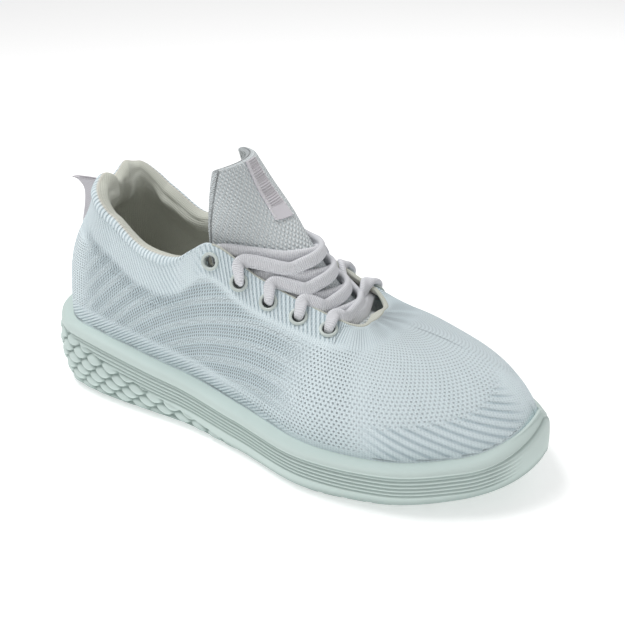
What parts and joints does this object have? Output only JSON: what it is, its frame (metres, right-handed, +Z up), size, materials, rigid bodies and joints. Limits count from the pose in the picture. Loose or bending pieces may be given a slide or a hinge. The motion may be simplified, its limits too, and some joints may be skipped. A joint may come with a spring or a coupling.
{
  "type": "running shoe",
  "caption": "Right running shoe: knit upper on a thick moulded sole, padded collar, tall mesh tongue with a ribbed tape, flat lace through painted eyelets and a ribbon loop at the heel.",
  "frame": {"origin": "on the ground under the middle of the sole's length and width", "axes": "+X to the toe, +Y to the medial (inner) side, +Z up"},
  "size_m": [0.2858, 0.1096, 0.1403],
  "materials": {
    "midsole_foam": "matt moulded foam",
    "outsole_rubber": "matt rubber",
    "strobel_fabric": "nonwoven",
    "insole_foam": "open-cell foam",
    "lining_fabric": "fine mesh",
    "knit_fabric": "flat knit",
    "stiffener_plastic": "matt",
    "padding_foam": "soft foam",
    "eyelet_paint": "satin paint",
    "washer_steel": "plain",
    "ribbon_fabric": "ribbed webbing",
    "lace_fabric": "woven flat lace",
    "tip_plastic": "clear-coated",
    "tongue_mesh": "spacer mesh"
  },
  "bodies": {
    "shoe_body": {"collar_foam": "padding_foam", "collar_lining": "lining_fabric", "eyelet_washers_lateral": "washer_steel", "eyelet_washers_medial": "washer_steel", "eyelets_lateral": "eyelet_paint", "eyelets_medial": "eyelet_paint", "eyestay_lateral": "stiffener_plastic", "eyestay_medial": "stiffener_plastic", "heel_counter": "stiffener_plastic", "knit_upper": "knit_fabric", "lace": "lace_fabric", "lace_tips": "tip_plastic", "midsole": "midsole_foam", "outsole_forefoot": "outsole_rubber", "outsole_heel": "outsole_rubber", "outsole_toe": "outsole_rubber", "strobel_board": "strobel_fabric", "toe_puff": "stiffener_plastic", "tongue_base_backing": "lining_fabric", "tongue_base_face": "tongue_mesh", "tongue_base_foam": "padding_foam"},
    "tongue_flap": {"tongue_flap_face": "tongue_mesh", "tongue_flap_foam": "padding_foam", "tongue_flap_backing": "lining_fabric", "tongue_tape": "ribbon_fabric"},
    "pull_loop": {"heel_loop": "ribbon_fabric"},
    "insole": {"insole_foam": "insole_foam", "insole_cloth": "lining_fabric"}
  },
  "joints": [
    {"name": "tongue_tilt", "type": "hinge", "parent": "shoe_body", "child": "tongue_flap", "pos_m": [0.00397, 0.006, 0.11085], "axis": [0, 1, 0], "range_deg": [-5, 20]},
    {"name": "loop_swing", "type": "hinge", "parent": "shoe_body", "child": "pull_loop", "pos_m": [-0.12899, 0.00218, 0.08168], "axis": [0.3978, 0, 0.9175], "range_deg": [-25, 25], "stiffness_Nm_per_rad": 0.002},
    {"name": "insole_lift", "type": "hinge", "parent": "shoe_body", "child": "insole", "pos_m": [0.128, 0.009, 0.031], "axis": [0, 1, 0], "range_deg": [0, 4]}
  ]
}
